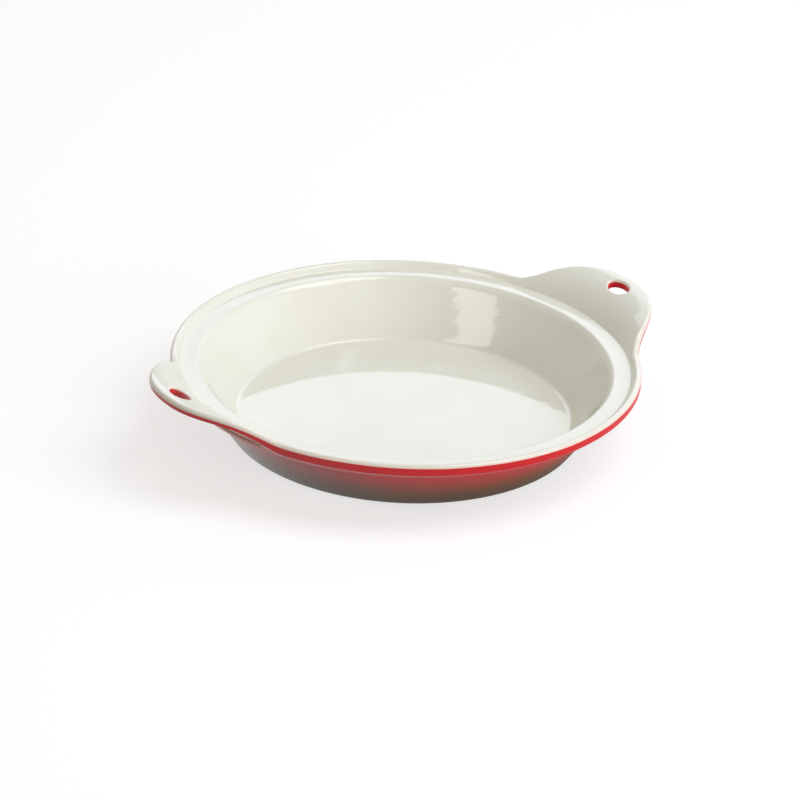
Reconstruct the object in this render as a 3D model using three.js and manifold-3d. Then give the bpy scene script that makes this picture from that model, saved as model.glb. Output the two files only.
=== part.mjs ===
// A round stoneware baking dish with two raised lug handles, each with a hanging hole.
// Millimetres, +Z up. The origin is on the axis, in the plane of the foot, and +X runs along the handles.
// Every piece is a radial section carried round the axis. At the handles the section reaches further out.

import * as THREE from "three";
import { mergeVertices } from "three/addons/utils/BufferGeometryUtils.js";
import Module from "manifold-3d";

const wasm = await Module();
wasm.setup();

// Rim. The land is its flat band, and the raised edge climbs from the land's outer side.
const rimRadius = 130;
const raisedWidth = 5.8;
const landWidth = 9.4;
const landBlend = 1.5;
const rimThickness = 4.8;
const rimTopEdge = 2.1;
const rimLowEdge = 1.2;
const rimUndercut = 3;

// Bowl. Its wall leans out from the floor to the mouth, at the land's inner side.
const depth = 31.2; // floor to land
const wallRun = 21.6; // how far the wall leans out over that depth
const wallThickness = 6.3;
const floorThickness = 4.2;
const floorFillet = 6;
const mouthEdge = 2.2;
const wallFillet = 4; // outside, under the land
const baseEdge = 1.5;

// Foot ring, the one part of the clay that stays bare.
const footInset = 8; // from the outer wall's lower corner
const footWidth = 6;
const footHeight = 1.5;

// Handles. Their top carries on the curve of the raised edge until it is level at the tip.
const handleLength = 24.3; // tip beyond the rim
const handleRise = 17; // tip above the land
const handleHalfAngle = THREE.MathUtils.degToRad(26);
const tipFullness = 2.5; // a larger power makes the tip blunter
const rootSweep = 2; // a larger power makes the root run out into the rim more slowly
const holeBreadth = 15.8; // across the handle
const holeLength = 8.8; // along the handle
const holeFromTip = 10.6; // the hole's middle

// Glaze. The two coats meet on the rounded edge of the rim and of the handles.
const coat = 0.4;
const bond = 0.3; // left between a coat and the clay, between two coats and at the handles' seams
const meetingAngle = THREE.MathUtils.degToRad(27); // above the widest line of the edge
const seamStep = 1.2; // the handles' seams lie this far outside the clay of the rim

// The roundings of the rim's edge are limited to these shares of its thickness.
const topEdgeShare = 0.45;
const lowEdgeShare = 0.25;

// Fineness of the facets.
const handleSteps = 12;
const rimSteps = 16;
const arcSteps = 2;
const climbSteps = 3;
const holeSides = 24;
const roundSides = 72;
const sameSpot = 1e-4;

// Values that follow from the driving dimensions. Radii are from the axis, heights from the table.
const point = (r, z) => new THREE.Vector2(r, z);
const landOuterRadius = rimRadius - raisedWidth;
const mouthRadius = landOuterRadius - landWidth;
const floorRadius = mouthRadius - wallRun;
const floorHeight = footHeight + floorThickness;
const landHeight = floorHeight + depth;
const landUnderside = landHeight - rimThickness;
const handleReach = rimRadius + handleLength;
const climbRun = handleReach - landOuterRadius;
const climbRadius = (climbRun ** 2 + handleRise ** 2) / (2 * handleRise);
const climbCentre = point(handleReach, landHeight + handleRise - climbRadius);
const underRadius = climbRadius - rimThickness;
const topEdge = Math.min(rimTopEdge, topEdgeShare * rimThickness);
const lowEdge = Math.min(rimLowEdge, lowEdgeShare * rimThickness);
const outerMouthRadius = mouthRadius + (wallThickness * Math.hypot(wallRun, depth)) / depth;
const outerWallAt = (z) => point(outerMouthRadius - ((landHeight - z) * wallRun) / depth, z);
const footRadius = outerWallAt(footHeight).x - footInset;
const footInside = footRadius - footWidth;
const clayDepth = coat + bond;
const holeDistance = handleReach - holeFromTip;
const cutHeight = 4 * (landHeight + handleRise); // taller than the dish, both ways

const angleTowards = (from, to) => Math.atan2(to.y - from.y, to.x - from.x);

// Points of an arc, from one angle to another.
function arc(centre, radius, from, to, steps) {
  return Array.from({ length: steps + 1 }, (_, i) => {
    const angle = from + ((to - from) * i) / steps;
    return point(centre.x + radius * Math.cos(angle), centre.y + radius * Math.sin(angle));
  });
}

// A corner between two straight runs, rounded to a radius.
function roundedCorner(before, corner, after, radius) {
  const back = before.clone().sub(corner).normalize();
  const ahead = after.clone().sub(corner).normalize();
  const half = Math.acos(back.dot(ahead)) / 2;
  const middle = back.clone().add(ahead).normalize();
  const centre = corner.clone().addScaledVector(middle, radius / Math.sin(half));
  const start = corner.clone().addScaledVector(back, radius / Math.tan(half));
  const end = corner.clone().addScaledVector(ahead, radius / Math.tan(half));
  const from = angleTowards(centre, start);
  const turn = angleTowards(centre, end) - from;
  const shortTurn = turn - 2 * Math.PI * Math.round(turn / (2 * Math.PI));
  return arc(centre, radius, from, from + shortTurn, arcSteps);
}

// How far the rim or a handle reaches from the axis, in plan.
function outlineRadius(angle) {
  const fromHandle = Math.abs(Math.asin(Math.sin(angle)));
  const share = Math.min(fromHandle / handleHalfAngle, 1);
  return rimRadius + handleLength * (1 - share ** tipFullness) ** rootSweep;
}

// Centre of a rounding that touches the outline from inside and lies at a distance from the climb's centre.
function centreBelowClimb(angle, radius, distance) {
  const r = outlineRadius(angle) - radius;
  return point(r, climbCentre.y + Math.sqrt(distance ** 2 - (climbCentre.x - r) ** 2));
}

// Centre of a rounding at a height, on the axis side of the climb's centre.
function centreBesideClimb(height, distance) {
  return point(climbCentre.x - Math.sqrt(distance ** 2 - (height - climbCentre.y) ** 2), height);
}

const topEdgeCentre = (angle) => centreBelowClimb(angle, topEdge, climbRadius - topEdge);

// The glazed surface that faces up, from the axis out to the line where the coats meet.
function upperFace(angle) {
  const floorCentre = point(0, floorHeight);
  const floorCorner = point(floorRadius, floorHeight);
  const mouthCorner = point(mouthRadius, landHeight);
  const landEnd = point(landOuterRadius, landHeight);
  const blend = centreBesideClimb(landHeight + landBlend, climbRadius + landBlend);
  const edge = topEdgeCentre(angle);
  const climbFrom = angleTowards(climbCentre, blend);
  const climbTo = angleTowards(climbCentre, edge);
  return [
    floorCentre,
    ...roundedCorner(floorCentre, floorCorner, mouthCorner, floorFillet),
    ...roundedCorner(floorCorner, mouthCorner, landEnd, mouthEdge),
    ...arc(blend, landBlend, -Math.PI / 2, angleTowards(blend, climbCentre), arcSteps),
    ...arc(climbCentre, climbRadius, climbFrom, climbTo, climbSteps).slice(1),
    ...arc(edge, topEdge, climbTo, meetingAngle, climbSteps).slice(1),
  ];
}

// The glazed surface outside, from the line where the coats meet down to the foot.
function lowerFace(angle) {
  const edge = topEdgeCentre(angle);
  const low = centreBelowClimb(angle, lowEdge, underRadius + lowEdge);
  const undercut = centreBesideClimb(landUnderside + rimUndercut, underRadius + rimUndercut);
  const underFrom = angleTowards(climbCentre, low);
  const underTo = angleTowards(climbCentre, undercut);
  const landUnder = point(undercut.x, landUnderside);
  const wallTop = outerWallAt(landUnderside);
  const wallFoot = outerWallAt(footHeight);
  const foot = point(footRadius + bond, footHeight);
  return [
    ...arc(edge, topEdge, meetingAngle - bond / topEdge, 0, arcSteps),
    ...arc(low, lowEdge, 0, angleTowards(low, climbCentre), arcSteps),
    ...arc(climbCentre, underRadius, underFrom, underTo, climbSteps).slice(1),
    ...arc(undercut, rimUndercut, angleTowards(undercut, climbCentre), -Math.PI / 2, arcSteps).slice(1),
    ...roundedCorner(landUnder, wallTop, wallFoot, wallFillet),
    ...roundedCorner(wallTop, wallFoot, foot, baseEdge),
    foot,
  ];
}

// The same run of points moved into the material, on the right of its direction.
function sunk(run, distance) {
  return run.map((at, i) => {
    const sides = [at.clone().sub(run[i - 1] ?? at), (run[i + 1] ?? at).clone().sub(at)];
    const real = sides.filter((side) => side.lengthSq() > 0);
    const inwards = real.map((side) => point(side.y, -side.x).normalize());
    const middle = inwards.reduce((sum, way) => sum.clone().add(way)).normalize();
    return at.clone().addScaledVector(middle, distance / middle.dot(inwards[0]));
  });
}

// Angles of the sections: closer together across the handles than along the rim between them.
const spread = (from, to, steps) => Array.from({ length: steps }, (_, i) => from + ((to - from) * i) / steps);
const handleAngles = spread(-handleHalfAngle, handleHalfAngle, handleSteps);
const rimAngles = spread(handleHalfAngle, Math.PI - handleHalfAngle, rimSteps);
const halfTurn = [...handleAngles, ...rimAngles];
const sectionAngles = [...halfTurn, ...halfTurn.map((angle) => angle + Math.PI)];

// A closed body from the section at each angle. The section runs clockwise, seen with the axis on its left.
// Each patch of four corners is split across its shorter diagonal, so that faces side by side split alike.
function carriedRound(sectionAt) {
  const sections = sectionAngles.map((angle) => sectionAt(angle).reverse());
  const rows = sections[0].length;
  const corners = sections.flatMap((section, i) =>
    section.flatMap(({ x, y }) => [x * Math.cos(sectionAngles[i]), x * Math.sin(sectionAngles[i]), y]),
  );
  const spot = (i) => new THREE.Vector3().fromArray(corners, 3 * i);
  const faces = [];
  sections.forEach((_, i) => {
    const here = i * rows;
    const next = ((i + 1) % sections.length) * rows;
    for (let k = 0; k < rows; k++) {
      const up = (k + 1) % rows;
      const [a, b, c, d] = [here + k, next + k, next + up, here + up];
      const acrossFirst = spot(a).distanceToSquared(spot(c)) < spot(b).distanceToSquared(spot(d));
      faces.push(...(acrossFirst ? [a, b, c, a, c, d] : [a, b, d, b, c, d]));
    }
  });
  const geometry = new THREE.BufferGeometry();
  geometry.setAttribute("position", new THREE.Float32BufferAttribute(corners, 3));
  geometry.setIndex(faces);
  return geometry;
}

// A geometry as a solid that can be joined and cut. Faces that shrink to a line on the axis are dropped.
function solidOf(geometry) {
  const bare = geometry.clone();
  bare.deleteAttribute("normal");
  bare.deleteAttribute("uv");
  const merged = mergeVertices(bare, sameSpot);
  const index = merged.index.array;
  const kept = [];
  for (let i = 0; i < index.length; i += 3) {
    const [a, b, c] = [index[i], index[i + 1], index[i + 2]];
    if (a !== b && b !== c && c !== a) kept.push(a, b, c);
  }
  const vertProperties = merged.attributes.position.array;
  return new wasm.Manifold(new wasm.Mesh({ numProp: 3, vertProperties, triVerts: new Uint32Array(kept) }));
}

function meshOf(name, solid, material) {
  const { vertProperties, triVerts } = solid.getMesh();
  const geometry = new THREE.BufferGeometry();
  geometry.setAttribute("position", new THREE.BufferAttribute(vertProperties, 3));
  geometry.setIndex(new THREE.BufferAttribute(triVerts, 1));
  geometry.computeVertexNormals();
  const mesh = new THREE.Mesh(geometry, material);
  mesh.name = name;
  return mesh;
}

// An upright oval column, from below the dish to above it.
function column(halfX, halfY, x, sides) {
  const upright = new THREE.CylinderGeometry(1, 1, cutHeight, sides).rotateX(Math.PI / 2);
  return solidOf(upright.scale(halfX, halfY, 1).translate(x, 0, 0));
}

const roundColumn = (radius) => column(radius, radius, 0, roundSides);

// The hanging holes of both handles, made wider all round by an amount.
function holesOf(wider) {
  const halfX = holeLength / 2 + wider;
  const halfY = holeBreadth / 2 + wider;
  return column(halfX, halfY, holeDistance, holeSides).add(column(halfX, halfY, -holeDistance, holeSides));
}

// Clay of the dish, with the foot ring standing bare below the glaze.
function claySection(angle) {
  const underside = footHeight + clayDepth;
  return [
    ...sunk(upperFace(angle), clayDepth),
    ...sunk(lowerFace(angle), clayDepth),
    point(footRadius, underside),
    point(footRadius, 0),
    point(footInside, 0),
    point(footInside, underside),
    point(0, underside),
  ];
}

const stoneware = new THREE.MeshStandardMaterial({ color: 0xc9b79c, roughness: 0.9, metalness: 0 });
const clay = solidOf(carriedRound(claySection)).subtract(holesOf(clayDepth));
const seamRadius = rimRadius - clayDepth + seamStep;
const bowl = clay.intersect(roundColumn(seamRadius));
const handles = clay.subtract(roundColumn(seamRadius + bond));
const halfLength = handleReach + seamStep;
const rightBox = new THREE.BoxGeometry(halfLength, 2 * halfLength, cutHeight);
const rightSide = solidOf(rightBox.translate(halfLength / 2, 0, 0));

// Cream coat over the inside, the land and the tops of the rim and handles.
function linerSection(angle) {
  const face = upperFace(angle);
  return [...face, ...sunk(face, coat).reverse()];
}

const creamGlaze = new THREE.MeshStandardMaterial({ color: 0xf0efe6, roughness: 0.12, metalness: 0 });
const liner = solidOf(carriedRound(linerSection)).subtract(holesOf(0));

// Red coat over the outer wall and the undersides of the rim and handles. It also lines the hanging holes.
function outerSection(angle) {
  const face = lowerFace(angle);
  return [...face, ...sunk(face, coat).reverse()];
}

function underLinerSection(angle) {
  return [...sunk(upperFace(angle), clayDepth), ...lowerFace(angle), point(0, footHeight)];
}

const redGlaze = new THREE.MeshStandardMaterial({ color: 0xb01f26, roughness: 0.15, metalness: 0 });
const holeLinings = solidOf(carriedRound(underLinerSection)).intersect(holesOf(coat));
const outer = solidOf(carriedRound(outerSection)).add(holeLinings).subtract(holesOf(0));

// Red coat on the underside, inside the foot ring.
const discRadius = footInside - bond;
const discFace = [point(0, footHeight), point(discRadius, footHeight)];
const discBack = [point(discRadius, footHeight + coat), point(0, footHeight + coat)];
const discProfile = [...discFace, ...discBack];
const disc = solidOf(new THREE.LatheGeometry(discProfile, roundSides).rotateX(Math.PI / 2));

const bakingDish = new THREE.Group();
bakingDish.name = "stoneware_baking_dish";
bakingDish.add(
  meshOf("stoneware_bowl", bowl, stoneware),
  meshOf("right_handle", handles.intersect(rightSide), stoneware),
  meshOf("left_handle", handles.subtract(rightSide), stoneware),
  meshOf("liner_glaze", liner, creamGlaze),
  meshOf("outer_glaze", outer, redGlaze),
  meshOf("base_glaze", disc, redGlaze),
);

export default bakingDish;
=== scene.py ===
import math

import bmesh
import bpy
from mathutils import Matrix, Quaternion, Vector


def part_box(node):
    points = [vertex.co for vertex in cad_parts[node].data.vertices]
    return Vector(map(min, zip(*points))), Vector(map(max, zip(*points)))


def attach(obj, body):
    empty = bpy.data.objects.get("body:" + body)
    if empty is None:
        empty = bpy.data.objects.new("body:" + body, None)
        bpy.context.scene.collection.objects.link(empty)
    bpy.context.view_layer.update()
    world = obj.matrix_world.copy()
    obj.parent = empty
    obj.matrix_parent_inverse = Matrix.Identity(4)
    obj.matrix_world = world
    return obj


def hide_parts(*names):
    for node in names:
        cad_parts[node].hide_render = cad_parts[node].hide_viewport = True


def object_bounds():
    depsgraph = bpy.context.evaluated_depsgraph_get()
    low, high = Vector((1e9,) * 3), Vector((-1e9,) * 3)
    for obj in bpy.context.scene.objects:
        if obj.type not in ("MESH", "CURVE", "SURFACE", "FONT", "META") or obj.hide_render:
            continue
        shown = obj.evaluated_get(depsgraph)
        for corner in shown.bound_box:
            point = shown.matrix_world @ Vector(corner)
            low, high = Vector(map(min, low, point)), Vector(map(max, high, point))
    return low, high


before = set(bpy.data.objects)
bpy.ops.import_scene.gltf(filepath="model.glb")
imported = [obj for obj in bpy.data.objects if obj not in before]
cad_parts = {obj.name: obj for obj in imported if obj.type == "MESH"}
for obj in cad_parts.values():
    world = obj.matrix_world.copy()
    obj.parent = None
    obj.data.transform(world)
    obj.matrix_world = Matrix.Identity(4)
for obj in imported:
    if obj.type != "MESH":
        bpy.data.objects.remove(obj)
cad_low, cad_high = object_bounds()

# Stoneware bowl. The body of the dish, with its floor, leaning wall, flat land, raised edge and foot ring.
# It is pressed from buff stoneware clay in a mould and fired hard. Glaze hides all of it but the foot ring,
# which is wiped clean before the firing so that the dish doesn't stick to the kiln shelf.
liner_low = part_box("liner_glaze")[0]
outer_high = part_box("outer_glaze")[1]
base_low, base_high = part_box("base_glaze")
bowl_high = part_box("stoneware_bowl")[1]

coat = base_high.z - base_low.z
rim_radius = outer_high.y
handle_reach = outer_high.x
handle_length = handle_reach - rim_radius
seam_radius = bowl_high.x
foot_height = base_low.z
foot_gap = 0.0003
foot_inside = base_high.x + foot_gap
foot_width = 0.006
foot_radius = foot_inside + foot_width
foot_edge = 0.0006
floor_height = liner_low.z + coat

depth = 0.0312
wall_run = 0.0216
wall_thickness = 0.0063
floor_fillet = 0.0035
mouth_edge = 0.0022
mouth_flare = 0.0032
flare_lean = math.radians(12)
flare_bend_radius = 0.012
wall_fillet = 0.004
base_edge = 0.0015
raised_width = 0.0058
land_width = 0.0094
land_blend = 0.0015
rim_thickness = 0.0048
top_edge = 0.0021
low_edge = 0.0012
rim_undercut = 0.003
lip_drop = 0.0009

land_height = floor_height + depth
land_underside = land_height - rim_thickness
land_outer_radius = rim_radius - raised_width
mouth_radius = land_outer_radius - land_width
floor_radius = mouth_radius - wall_run
outer_mouth_radius = mouth_radius + wall_thickness * math.hypot(wall_run, depth) / depth

# The top of the raised edge and of the handles is one arc, which is level above the handles' tips.
handle_rise = cad_high.z - land_height
climb_run = handle_reach - land_outer_radius
climb_radius = (climb_run**2 + handle_rise**2) / (2 * handle_rise)
climb_centre = Vector((handle_reach, land_height + handle_rise - climb_radius))
under_radius = climb_radius - rim_thickness

fillet_steps = 8
wall_steps = 10
floor_steps = 8
flat_steps = 3
foot_steps = 6
climb_steps = 24
under_steps = 20
edge_steps = 8


def arc(centre, radius, start, end, steps):
    turns = [start + (end - start) * i / steps for i in range(steps + 1)]
    return [Vector((centre.x + radius * math.cos(t), centre.y + radius * math.sin(t))) for t in turns]


def between(start, end, steps):
    return [start.lerp(end, i / steps) for i in range(1, steps)]


def angle_towards(start, end):
    return math.atan2(end.y - start.y, end.x - start.x)


def rounded_corner(before, corner, after, radius):
    back = (before - corner).normalized()
    ahead = (after - corner).normalized()
    half = math.acos(back.dot(ahead)) / 2
    centre = corner + (back + ahead).normalized() * (radius / math.sin(half))
    start = corner + back * (radius / math.tan(half))
    end = corner + ahead * (radius / math.tan(half))
    first = angle_towards(centre, start)
    turn = math.remainder(angle_towards(centre, end) - first, 2 * math.pi)
    return arc(centre, radius, first, first + turn, fillet_steps)


def outer_wall_at(height):
    return Vector((outer_mouth_radius - (land_height - height) * wall_run / depth, height))


def centre_below_climb(reach, radius, distance):
    r = reach - radius
    return Vector((r, climb_centre.y + math.sqrt(distance**2 - (climb_centre.x - r) ** 2)))


def centre_beside_climb(height, distance):
    return Vector((climb_centre.x - math.sqrt(distance**2 - (height - climb_centre.y) ** 2), height))


# Inside of the bowl, from the middle of the floor to the start of the climb.
floor_middle = Vector((0, floor_height))
floor_corner = Vector((floor_radius, floor_height))
mouth_corner = Vector((mouth_radius, land_height))
land_end = Vector((land_outer_radius, land_height))
blend_centre = centre_beside_climb(land_height + land_blend, climb_radius + land_blend)
flare_slope = angle_towards(floor_corner, mouth_corner) - flare_lean
flare_corner = mouth_corner - Vector((math.cos(flare_slope), math.sin(flare_slope))) * mouth_flare
floor_bend = rounded_corner(floor_middle, floor_corner, flare_corner, floor_fillet)
flare_bend = rounded_corner(floor_corner, flare_corner, mouth_corner, flare_bend_radius)
mouth_bend = rounded_corner(flare_corner, mouth_corner, land_end, mouth_edge)
blend_to = angle_towards(blend_centre, climb_centre)
land_bend = arc(blend_centre, land_blend, -math.pi / 2, blend_to, fillet_steps)
inside_run = [floor_middle]
inside_run += between(floor_middle, floor_bend[0], floor_steps)
inside_run += floor_bend
inside_run += between(floor_bend[-1], flare_bend[0], wall_steps)
inside_run += flare_bend
inside_run += mouth_bend
inside_run += between(mouth_bend[-1], land_bend[0], flat_steps)
inside_run += land_bend

# Outside of the bowl, from the underside of the raised edge down to the foot.
undercut_centre = centre_beside_climb(land_underside + rim_undercut, under_radius + rim_undercut)
wall_top = outer_wall_at(land_underside)
wall_foot = outer_wall_at(foot_height)
foot_meeting = Vector((foot_radius + foot_gap, foot_height))
undercut_from = angle_towards(undercut_centre, climb_centre)
undercut_bend = arc(undercut_centre, rim_undercut, undercut_from, -math.pi / 2, fillet_steps)
land_under = Vector((undercut_centre.x, land_underside))
wall_bend = rounded_corner(land_under, wall_top, wall_foot, wall_fillet)
base_bend = rounded_corner(wall_top, wall_foot, foot_meeting, base_edge)
outside_run = undercut_bend + wall_bend
outside_run += between(wall_bend[-1], base_bend[0], wall_steps)
outside_run += base_bend
outside_run += between(base_bend[-1], foot_meeting, flat_steps)
outside_run += [foot_meeting]


def upper_face(reach, meeting):
    edge = centre_below_climb(reach, top_edge, climb_radius - top_edge)
    climb_from = angle_towards(climb_centre, blend_centre)
    climb_to = angle_towards(climb_centre, edge)
    climb = arc(climb_centre, climb_radius, climb_from, climb_to, climb_steps)
    rounding = arc(edge, top_edge, climb_to, meeting, edge_steps)
    return inside_run + climb[1:] + rounding[1:]


# The rim's lip and glaze line turn into the handle's over the first third of the handle's length.
handle_onset = 3


def handle_share(reach):
    return min(handle_onset * max(reach - rim_radius, 0) / handle_length, 1)


def lower_face(reach, meeting):
    drop = lip_drop * (1 - handle_share(reach))
    edge = centre_below_climb(reach, top_edge, climb_radius - top_edge)
    low = centre_below_climb(reach, low_edge, under_radius - drop + low_edge)
    under_from = angle_towards(climb_centre, low)
    under_to = angle_towards(climb_centre, undercut_centre)
    rounding = arc(edge, top_edge, meeting, 0, edge_steps)
    lower_rounding = arc(low, low_edge, 0, angle_towards(low, climb_centre), edge_steps)
    under = arc(climb_centre, under_radius, under_from, under_to, under_steps)
    for i, at in enumerate(under):
        at += (climb_centre - at).normalized() * drop * (1 - i / under_steps)
    return rounding + lower_rounding + under[1:] + outside_run[1:]


def sunk(run, distance):
    moved = []
    for i, at in enumerate(run):
        before = run[max(i - 1, 0)]
        after = run[min(i + 1, len(run) - 1)]
        along = (after - before).normalized()
        moved.append(at + Vector((along.y, -along.x)) * distance)
    return moved


handle_half_angle = math.radians(26)
handle_columns = 104
rim_columns = 64
tip_fullness = 2.5
root_sweep = 2
# Glaze pools a little in the hollow where a handle leaves the rim.
root_pool = 0.0005
root_pool_at = math.radians(24)
root_pool_spread = math.radians(2)
handle_step = 2 * handle_half_angle / handle_columns
rim_step = (math.pi - 2 * handle_half_angle) / rim_columns
half_turn = [-handle_half_angle + handle_step * i for i in range(handle_columns)]
half_turn += [handle_half_angle + rim_step * i for i in range(rim_columns)]
section_angles = half_turn + [angle + math.pi for angle in half_turn]


def outline_radius(angle):
    from_handle = abs(math.asin(math.sin(angle)))
    share = min(from_handle / handle_half_angle, 1)
    pool = root_pool * math.exp(-(((from_handle - root_pool_at) / root_pool_spread) ** 2))
    return rim_radius + handle_length * (1 - share**tip_fullness) ** root_sweep + pool


def placed(at, angle):
    return (at.x * math.cos(angle), at.x * math.sin(angle), at.y)


same_spot = 1e-6
crease_angle = math.radians(40)


def carried_round(section_at, angles):
    mesh = bmesh.new()
    sections = [[mesh.verts.new(placed(at, angle)) for at in section_at(angle)] for angle in angles]
    for here, ahead in zip(sections, sections[1:] + sections[:1]):
        for k in range(len(here) - 1):
            mesh.faces.new((here[k], ahead[k], ahead[k + 1], here[k + 1]))
    bmesh.ops.remove_doubles(mesh, verts=mesh.verts, dist=same_spot)
    bmesh.ops.recalc_face_normals(mesh, faces=mesh.faces)
    return mesh


def piece_from(mesh, name):
    data = bpy.data.meshes.new(name)
    mesh.to_mesh(data)
    mesh.free()
    data.shade_smooth()
    data.set_sharp_from_angle(angle=crease_angle)
    piece = bpy.data.objects.new(name, data)
    bpy.context.scene.collection.objects.link(piece)
    return piece


edge_meeting = math.radians(18)
clay_gap = 0.00005
clay_sink = coat + clay_gap
foot_top = foot_height + clay_sink
foot_outer_top = Vector((foot_radius, foot_top))
foot_outer = Vector((foot_radius, 0))
foot_inner = Vector((foot_inside, 0))
foot_inner_top = Vector((foot_inside, foot_top))
foot_run = [foot_outer_top]
foot_run += rounded_corner(foot_outer_top, foot_outer, foot_inner, foot_edge)
foot_run += between(foot_run[-1], Vector((foot_inside + foot_edge, 0)), foot_steps)
foot_run += rounded_corner(foot_outer, foot_inner, foot_inner_top, foot_edge)
foot_run += [foot_inner_top, Vector((0, foot_top))]


def clay_section(angle):
    reach = min(outline_radius(angle), seam_radius + clay_sink)
    glazed_run = upper_face(reach, edge_meeting)[:-1] + lower_face(reach, edge_meeting)
    return sunk(glazed_run, clay_sink) + foot_run


clay_bowl = piece_from(carried_round(clay_section, section_angles), "clay_bowl")


def new_finish(name):
    finish = bpy.data.materials.new(name)
    finish.use_nodes = True
    nodes = finish.node_tree.nodes
    return finish, nodes, finish.node_tree.links, nodes["Principled BSDF"]


def mottling(nodes, links, place, scale, detail):
    noise = nodes.new("ShaderNodeTexNoise")
    noise.inputs["Scale"].default_value = scale
    noise.inputs["Detail"].default_value = detail
    links.new(place.outputs["Object"], noise.inputs["Vector"])
    return noise


def grey(level):
    return (level, level, level)


def graded(nodes, links, source, stops):
    ramp = nodes.new("ShaderNodeValToRGB")
    elements = ramp.color_ramp.elements
    while len(elements) < len(stops):
        elements.new(1)
    for element, (position, colour) in zip(elements, stops):
        element.position = position
        element.color = (*colour, 1)
    links.new(source, ramp.inputs["Fac"])
    return ramp


def mixed_with(nodes, links, amount, first, colour):
    mix = nodes.new("ShaderNodeMix")
    mix.data_type = "RGBA"
    links.new(amount, mix.inputs["Factor"])
    links.new(first, mix.inputs["A"])
    mix.inputs["B"].default_value = (*colour, 1)
    return mix


def raise_grain(nodes, links, shader, grain, strength, relief):
    bump = nodes.new("ShaderNodeBump")
    bump.inputs["Strength"].default_value = strength
    bump.inputs["Distance"].default_value = relief
    links.new(grain.outputs["Fac"], bump.inputs["Height"])
    links.new(bump.outputs["Normal"], shader.inputs["Normal"])


buff_light = (0.52, 0.40, 0.27)
buff_dark = (0.40, 0.29, 0.185)
speck_brown = (0.12, 0.07, 0.04)
bare_clay, nodes, links, shader = new_finish("bare_clay")
place = nodes.new("ShaderNodeTexCoord")
body = mottling(nodes, links, place, scale=90, detail=5)
body_tone = graded(nodes, links, body.outputs["Fac"], [(0.35, buff_dark), (0.65, buff_light)])
grit = mottling(nodes, links, place, scale=1400, detail=2)
grit_spots = graded(nodes, links, grit.outputs["Fac"], [(0.66, grey(0)), (0.72, grey(1))])
speckled = mixed_with(nodes, links, grit_spots.outputs["Color"], body_tone.outputs["Color"], speck_brown)
links.new(speckled.outputs["Result"], shader.inputs["Base Color"])
dryness = graded(nodes, links, body.outputs["Fac"], [(0.3, grey(0.72)), (0.7, grey(0.9))])
links.new(dryness.outputs["Color"], shader.inputs["Roughness"])
raise_grain(nodes, links, shader, grit, strength=0.35, relief=0.0002)

clay_bowl.data.materials.append(bare_clay)
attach(clay_bowl, "root")
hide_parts("stoneware_bowl")

# Handles. Two lugs of the same clay, each with a hanging hole, that carry on the climb of the raised edge.
# They are joined to the rim before the firing, and the glaze coats hide them.
for handle in (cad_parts["right_handle"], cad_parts["left_handle"]):
    handle.data.materials.clear()
    handle.data.materials.append(bare_clay)

# Liner glaze. The cream coat over the inside, the land and the tops of the rim and the handles.
# It is poured in and melts to a thick gloss, which thins and turns peach where it meets the red on the edge.
hole_breadth = 0.0158
hole_length = 0.0088
hole_from_tip = 0.0106
hole_distance = handle_reach - hole_from_tip
hole_lip = 0.0015
hole_lip_turn = math.radians(72)
hole_lip_rings = 7
hole_rows = 11
hole_columns = 18
handle_meeting = math.radians(1)
side_meeting = math.radians(10)
pour_angle = math.radians(-124)
wander = math.radians(3)
wander_waves = [(0.6, 5, 0.7), (0.4, 11, 2.1), (0.3, 23, 0)]


def edge_meeting_at(angle):
    on_handle = handle_share(outline_radius(angle))
    towards_side = math.sin(angle - pour_angle) ** 2
    on_rim = edge_meeting + (side_meeting - edge_meeting) * towards_side
    sway = sum(size * math.sin(count * angle + start) for size, count, start in wander_waves)
    return (on_rim + wander * sway) * (1 - on_handle) + handle_meeting * on_handle


def climb_height(r, radius):
    return climb_centre.y + math.sqrt(radius**2 - (climb_centre.x - r) ** 2)


def spot_by_hole(turn, side, wider):
    x = hole_distance + (hole_length / 2 + wider) * math.cos(turn)
    y = (hole_breadth / 2 + wider) * math.sin(turn)
    return side * x, side * y


def turns_by_hole(start, way):
    turns = []
    for cells in (hole_rows, hole_columns, hole_rows, hole_columns):
        turns += [start + way * math.pi / 2 * i / cells for i in range(cells)]
        start += way * math.pi / 2
    return turns


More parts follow.
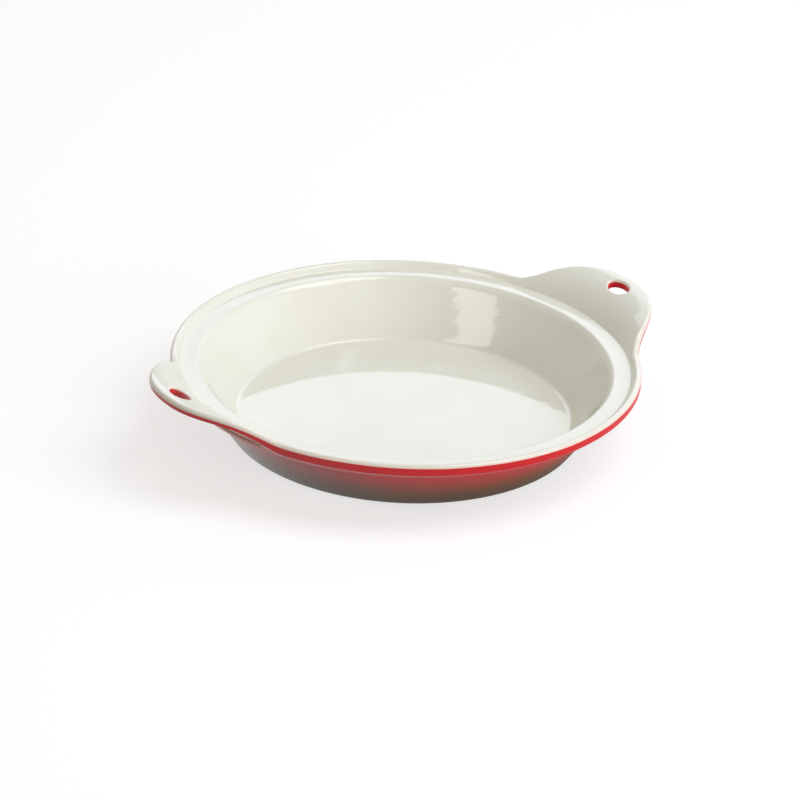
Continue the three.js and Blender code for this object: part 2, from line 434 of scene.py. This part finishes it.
def glaze_sheet(face_at, row_thinness, first_hole_row, rings_at):
    mesh = bmesh.new()
    thinness = mesh.verts.layers.float.new("thinness")
    columns = []
    for angle in section_angles:
        column = [mesh.verts.new(placed(at, angle)) for at in face_at(angle)]
        for corner, thin in zip(column, row_thinness):
            corner[thinness] = thin
        columns.append(column)

    # Each hole takes the place of a block of cells, and rings lead from the block's edge into the hole.
    last_hole_row = first_hole_row + hole_rows
    cut = set()
    for side in (1, -1):
        middle = handle_columns // 2 + (0 if side == 1 else len(half_turn))
        near, far = middle - hole_columns // 2, middle + hole_columns // 2
        cut |= {(i, k) for i in range(near, far) for k in range(first_hole_row, last_hole_row)}
        loop = [columns[near][k] for k in range(first_hole_row, last_hole_row)]
        loop += [columns[i][last_hole_row] for i in range(near, far)]
        loop += [columns[far][k] for k in range(last_hole_row, first_hole_row, -1)]
        loop += [columns[i][first_hole_row] for i in range(far, near, -1)]
        from_tip = side * loop[0].co.x > hole_distance
        turns = turns_by_hole(-math.pi / 4, -1) if from_tip else turns_by_hole(-3 * math.pi / 4, 1)
        for ring, thin in rings_at(turns, side, [corner.co.copy() for corner in loop]):
            inner = [mesh.verts.new(at) for at in ring]
            for corner in inner:
                corner[thinness] = thin
            for i in range(len(loop)):
                j = (i + 1) % len(loop)
                mesh.faces.new((loop[i], loop[j], inner[j], inner[i]))
            loop = inner

    for i, here in enumerate(columns):
        ahead = columns[(i + 1) % len(columns)]
        for k in range(len(here) - 1):
            if (i, k) not in cut:
                mesh.faces.new((here[k], ahead[k], ahead[k + 1], here[k + 1]))
    bmesh.ops.remove_doubles(mesh, verts=mesh.verts, dist=same_spot)
    bmesh.ops.recalc_face_normals(mesh, faces=mesh.faces)
    mesh.faces.ensure_lookup_table()
    top = max(mesh.faces, key=lambda face: face.calc_center_median().z)
    if top.normal.z < 0:
        bmesh.ops.reverse_faces(mesh, faces=mesh.faces)
    return mesh


def coated(mesh, name):
    piece = piece_from(mesh, name)
    shell = piece.modifiers.new("coat", "SOLIDIFY")
    shell.thickness = coat
    shell.offset = -1
    shell.use_even_offset = True
    bpy.context.view_layer.objects.active = piece
    bpy.ops.object.modifier_apply(modifier=shell.name)
    piece.data.set_sharp_from_angle(angle=crease_angle)
    return piece


def surface_ring(turns, side, loop, wider, share, radius):
    ring = []
    for turn, corner in zip(turns, loop):
        x, y = spot_by_hole(turn, side, wider)
        x = corner.x + (x - corner.x) * share
        y = corner.y + (y - corner.y) * share
        ring.append((x, y, climb_height(math.hypot(x, y), radius)))
    return ring


def upper_lip_ring(turns, side, turned):
    ring = []
    for turn in turns:
        x, y = spot_by_hole(turn, side, hole_lip * (1 - math.sin(turned)))
        drop = hole_lip * (1 - math.cos(turned))
        ring.append((x, y, climb_height(math.hypot(x, y), climb_radius) - drop))
    return ring


halfway = 0.5


def cream_hole_rings(turns, side, loop):
    rings = [(surface_ring(turns, side, loop, hole_lip, halfway, climb_radius), 0)]
    for i in range(hole_lip_rings + 1):
        share = i / hole_lip_rings
        rings.append((upper_lip_ring(turns, side, hole_lip_turn * share), share**2))
    return rings


cream_thinness = [0] * (len(inside_run) + climb_steps)
cream_thinness += [(i / edge_steps) ** 3 for i in range(1, edge_steps + 1)]
# The block of cells for a hole ends one row short of the top of the climb.
climb_end_row = len(inside_run) + climb_steps - 1
cream_hole_row = climb_end_row - 1 - hole_rows


def cream_face(angle):
    return upper_face(outline_radius(angle), edge_meeting_at(angle))


cream_sheet = glaze_sheet(cream_face, cream_thinness, cream_hole_row, cream_hole_rings)
cream_liner = coated(cream_sheet, "cream_liner")

cream_light = (0.81, 0.805, 0.72)
cream_deep = (0.78, 0.77, 0.68)
peach_thin = (0.86, 0.62, 0.53)
glaze_ior = 1.52


def combined(nodes, links, operation, first, second):
    result = nodes.new("ShaderNodeMath")
    result.operation = operation
    links.new(first, result.inputs[0])
    links.new(second, result.inputs[1])
    return result


cream_glaze, nodes, links, shader = new_finish("cream_glaze")
place = nodes.new("ShaderNodeTexCoord")
clouds = mottling(nodes, links, place, scale=22, detail=3)
cream_tone = graded(nodes, links, clouds.outputs["Fac"], [(0.35, cream_deep), (0.65, cream_light)])
thin = nodes.new("ShaderNodeAttribute")
thin.attribute_name = "thinness"
break_up = mottling(nodes, links, place, scale=260, detail=3)
break_share = graded(nodes, links, break_up.outputs["Fac"], [(0.3, grey(0.45)), (0.7, grey(1))])
broken = combined(nodes, links, "MULTIPLY", thin.outputs["Fac"], break_share.outputs["Color"])
cream_colour = mixed_with(nodes, links, broken.outputs["Value"], cream_tone.outputs["Color"], peach_thin)
links.new(cream_colour.outputs["Result"], shader.inputs["Base Color"])
cream_gloss = graded(nodes, links, clouds.outputs["Fac"], [(0.3, grey(0.03)), (0.7, grey(0.06))])
links.new(cream_gloss.outputs["Color"], shader.inputs["Roughness"])
shader.inputs["IOR"].default_value = glaze_ior
ripple = mottling(nodes, links, place, scale=110, detail=2)
raise_grain(nodes, links, shader, ripple, strength=0.2, relief=0.0004)

cream_liner.data.materials.append(cream_glaze)
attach(cream_liner, "root")
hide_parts("liner_glaze")

# Outer glaze. The red coat over the outer wall, the undersides of the rim and handles and the hanging holes.
# It is sprayed on. Its colour runs from bright red at the rim to dark brown at the base; the dark lower wall
# is partly the glaze's own colour and partly painted shade, where the wall faces down into the dish's
# shadow.
# It is satin on one side of the dish and has melted to a smoother gloss on the other.
under_lip = 0.001
under_lip_rings = 6
under_lip_thinness = 0.3
hole_wall_rings = 6


def red_hole_rings(turns, side, loop):
    rings = [(surface_ring(turns, side, loop, under_lip, halfway, under_radius), 0)]
    for i in range(under_lip_rings + 1):
        turned = math.pi / 2 * i / under_lip_rings
        ring = []
        for turn in turns:
            x, y = spot_by_hole(turn, side, under_lip * (1 - math.sin(turned)))
            lift = under_lip * (1 - math.cos(turned))
            ring.append((x, y, climb_height(math.hypot(x, y), under_radius) + lift))
        rings.append((ring, under_lip_thinness * math.sin(2 * turned)))
    wall_low = rings[-1][0]
    wall_high = upper_lip_ring(turns, side, hole_lip_turn)
    for i in range(1, hole_wall_rings + 1):
        share = i / hole_wall_rings
        ring = [Vector(low).lerp(Vector(high), share) for low, high in zip(wall_low, wall_high)]
        rings.append((ring, share**4))
    return rings


red_thinness = [(1 - i / edge_steps) ** 4 for i in range(edge_steps + 1)]
red_thinness += [0] * (edge_steps + 1 + under_steps + len(outside_run) - 1)
# The block of cells for a hole starts one row in from the outer end of the underside.
under_start_row = 2 * (edge_steps + 1)
red_hole_row = under_start_row + 1


def red_face(angle):
    return lower_face(outline_radius(angle), edge_meeting_at(angle))


red_sheet = glaze_sheet(red_face, red_thinness, red_hole_row, red_hole_rings)
red_coat = coated(red_sheet, "red_outer_coat")

# Colours of the outer coat's height gradient; the browns low on the wall are partly painted shade.
rim_red = (0.74, 0.014, 0.02)
rust_red = (0.53, 0.055, 0.036)
rust_brown = (0.235, 0.07, 0.028)
base_brown_and_shade = (0.115, 0.06, 0.026)
thin_pink = (0.78, 0.13, 0.1)
red_shine = 0.4
drift_reach = 0.004
smooth_towards = (-0.827, 0.562, 0)
satin_up_to = -0.08
smooth_beyond = 0.06
smooth_share = 0.36
red_glaze, nodes, links, shader = new_finish("red_glaze")
place = nodes.new("ShaderNodeTexCoord")
height = nodes.new("ShaderNodeSeparateXYZ")
links.new(place.outputs["Object"], height.inputs["Vector"])
drift = mottling(nodes, links, place, scale=40, detail=3)
drift_height = nodes.new("ShaderNodeMath")
drift_height.operation = "MULTIPLY_ADD"
drift_height.inputs[1].default_value = drift_reach
links.new(drift.outputs["Fac"], drift_height.inputs[0])
links.new(height.outputs["Z"], drift_height.inputs[2])
up_the_wall = nodes.new("ShaderNodeMapRange")
up_the_wall.inputs["From Min"].default_value = drift_reach / 2
up_the_wall.inputs["From Max"].default_value = land_height + drift_reach / 2
links.new(drift_height.outputs["Value"], up_the_wall.inputs["Value"])
# Colour by height, bright red at the rim to dark brown at the base, partly painted shade on the lower wall.
wall_tones_and_shade = [(0.15, base_brown_and_shade), (0.33, rust_brown), (0.53, rust_red), (0.72, rim_red)]
wall_colour_and_shade = graded(nodes, links, up_the_wall.outputs["Result"], wall_tones_and_shade)
thin = nodes.new("ShaderNodeAttribute")
thin.attribute_name = "thinness"
red_colour = mixed_with(nodes, links, thin.outputs["Fac"], wall_colour_and_shade.outputs["Color"], thin_pink)
links.new(red_colour.outputs["Result"], shader.inputs["Base Color"])
red_gloss = graded(nodes, links, up_the_wall.outputs["Result"], [(0.3, grey(0.66)), (0.9, grey(0.48))])
smooth_side = nodes.new("ShaderNodeVectorMath")
smooth_side.operation = "DOT_PRODUCT"
smooth_side.inputs[1].default_value = smooth_towards
links.new(place.outputs["Object"], smooth_side.inputs[0])
smoothed = nodes.new("ShaderNodeMapRange")
smoothed.interpolation_type = "SMOOTHSTEP"
smoothed.inputs["From Min"].default_value = satin_up_to
smoothed.inputs["From Max"].default_value = smooth_beyond
smoothed.inputs["To Min"].default_value = 1
smoothed.inputs["To Max"].default_value = smooth_share
links.new(smooth_side.outputs["Value"], smoothed.inputs["Value"])
red_roughness = combined(nodes, links, "MULTIPLY", red_gloss.outputs["Color"], smoothed.outputs["Result"])
links.new(red_roughness.outputs["Value"], shader.inputs["Roughness"])
shader.inputs["IOR"].default_value = glaze_ior
shader.inputs["Specular IOR Level"].default_value = red_shine
ripple = mottling(nodes, links, place, scale=80, detail=2)
raise_grain(nodes, links, shader, ripple, strength=0.15, relief=0.0004)

red_coat.data.materials.append(red_glaze)
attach(red_coat, "root")
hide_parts("outer_glaze")

# Base glaze. A disc of the outer coat on the underside, inside the foot ring, in the dark brown at the
# bottom of the coat's height gradient, which is partly painted shade.
# It is sprayed on with the outer coat and melts to a rounded edge beside the wiped clay.
disc_radius = base_high.x
disc_edge = coat * 0.6
disc_low = Vector((disc_radius, base_low.z))
disc_high = Vector((disc_radius, base_high.z))
disc_run = [Vector((0, base_low.z))]
disc_run += between(disc_run[0], Vector((disc_radius - disc_edge, base_low.z)), floor_steps)
disc_run += rounded_corner(disc_run[0], disc_low, disc_high, disc_edge)
disc_run += [disc_high, Vector((0, base_high.z))]
disc_columns = 144
disc_angles = [2 * math.pi * i / disc_columns for i in range(disc_columns)]
base_disc = piece_from(carried_round(lambda angle: disc_run, disc_angles), "base_disc")
base_disc.data.materials.append(red_glaze)
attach(base_disc, "root")
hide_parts("base_glaze")

# Floor and studio. A pale floor under the dish, a white room round it and six soft lamps.
# The bank hangs overhead on the right. The softbox to the left of the camera shows in the bowl's wall.
floor_half = 6
floor_corners = [(-floor_half, -floor_half), (floor_half, -floor_half)]
floor_corners += [(floor_half, floor_half), (-floor_half, floor_half)]
mesh = bmesh.new()
mesh.faces.new([mesh.verts.new((x, y, 0)) for x, y in floor_corners])
floor = piece_from(mesh, "floor")


def seen_directly(nodes, links):
    rays = nodes.new("ShaderNodeLightPath")
    seen = combined(nodes, links, "MAXIMUM", rays.outputs["Is Camera Ray"], rays.outputs["Is Glossy Ray"])
    return combined(nodes, links, "MAXIMUM", seen.outputs["Value"], rays.outputs["Is Transmission Ray"])


plain_white = grey(1)
floor_grey = grey(0.37)
floor_roughness = 0.9
floor_glow = 0.69
pale_floor, nodes, links, shader = new_finish("pale_floor")
shader.inputs["Base Color"].default_value = (*floor_grey, 1)
shader.inputs["Roughness"].default_value = floor_roughness
shader.inputs["Specular IOR Level"].default_value = 0
shader.inputs["Emission Color"].default_value = (*plain_white, 1)
seen = seen_directly(nodes, links)
glow = nodes.new("ShaderNodeMath")
glow.operation = "MULTIPLY"
glow.inputs[1].default_value = floor_glow
links.new(seen.outputs["Value"], glow.inputs[0])
links.new(glow.outputs["Value"], shader.inputs["Emission Strength"])
floor.data.materials.append(pale_floor)

room_light = 0.24
warm_white = (1.04, 1, 0.87)
cool_white = (0.92, 0.99, 1.17)
world = bpy.data.worlds.new("studio")
bpy.context.scene.world = world
world.use_nodes = True
nodes, links = world.node_tree.nodes, world.node_tree.links
seen = seen_directly(nodes, links)
level = nodes.new("ShaderNodeMapRange")
level.inputs["To Min"].default_value = room_light
level.inputs["To Max"].default_value = 1
links.new(seen.outputs["Value"], level.inputs["Value"])
links.new(level.outputs["Result"], nodes["Background"].inputs["Strength"])
tint = nodes.new("ShaderNodeMix")
tint.data_type = "RGBA"
tint.inputs["A"].default_value = (*warm_white, 1)
tint.inputs["B"].default_value = (*plain_white, 1)
links.new(seen.outputs["Value"], tint.inputs["Factor"])
links.new(tint.outputs["Result"], nodes["Background"].inputs["Color"])

view_azimuth = math.radians(-34.2)
to_right = Vector((math.cos(view_azimuth), math.sin(view_azimuth), 0))
to_camera = Vector((math.sin(view_azimuth), -math.cos(view_azimuth), 0))
upwards = Vector((0, 0, 1))
dish_middle = Vector((0, 0, land_height))


# A lamp's direction from the dish is given to the right, towards the camera and up.
def soft_lamp(name, direction, distance, width, length, watts, colour, roll=0, mirrored=True):
    right, front, up = direction
    light = bpy.data.lights.new(name, "AREA")
    light.shape = "RECTANGLE"
    light.size = width
    light.size_y = length
    light.energy = watts
    light.color = colour
    lamp = bpy.data.objects.new(name, light)
    bpy.context.scene.collection.objects.link(lamp)
    towards = (to_right * right + to_camera * front + upwards * up).normalized()
    lamp.location = dish_middle + towards * distance
    lamp.rotation_mode = "QUATERNION"
    lamp.rotation_quaternion = towards.to_track_quat("Z", "Y") @ Quaternion((0, 0, 1), roll)
    lamp.visible_camera = False
    lamp.visible_glossy = mirrored


soft_lamp(
    "overhead_bank",
    direction=(0.42, 0.05, 0.906),
    distance=1.7,
    width=1,
    length=0.9,
    watts=11.2,
    colour=plain_white,
)
soft_lamp(
    "back_strip",
    direction=(0, -0.88, 0.47),
    distance=1.8,
    width=1.8,
    length=0.6,
    watts=4.5,
    colour=cool_white,
)
soft_lamp(
    "left_softbox",
    direction=(-0.559, 0.517, 0.648),
    distance=1.61,
    width=0.8,
    length=0.205,
    watts=1.75,
    colour=warm_white,
    roll=math.radians(34),
)
soft_lamp(
    "left_lamp",
    direction=(-0.95, -0.1, 0.3),
    distance=1.8,
    width=0.8,
    length=0.6,
    watts=2,
    colour=warm_white,
    mirrored=False,
)
soft_lamp(
    "right_lamp",
    direction=(0.78, 0.08, 0.62),
    distance=1.8,
    width=0.8,
    length=0.8,
    watts=8.8,
    colour=cool_white,
    mirrored=False,
)
soft_lamp(
    "front_lamp",
    direction=(0.75, 0.63, 0.2),
    distance=1.8,
    width=1,
    length=0.6,
    watts=10.5,
    colour=plain_white,
    mirrored=False,
)

camera_spot = Vector((-1.0076, -1.4826, 0.9139))
camera_target = Vector((-0.0049, -0.0030, 0.01645))
camera_roll = math.radians(2.72)
camera_data = bpy.data.cameras.new("camera")
camera_data.lens = 162.77
camera_data.sensor_width = 36
camera = bpy.data.objects.new("camera", camera_data)
bpy.context.scene.collection.objects.link(camera)
camera.location = camera_spot
level_turn = (camera_target - camera_spot).to_track_quat("-Z", "Y")
camera.rotation_mode = "QUATERNION"
camera.rotation_quaternion = level_turn @ Quaternion((0, 0, 1), camera_roll)
bpy.context.scene.camera = camera
bpy.context.scene.view_settings.view_transform = "Standard"
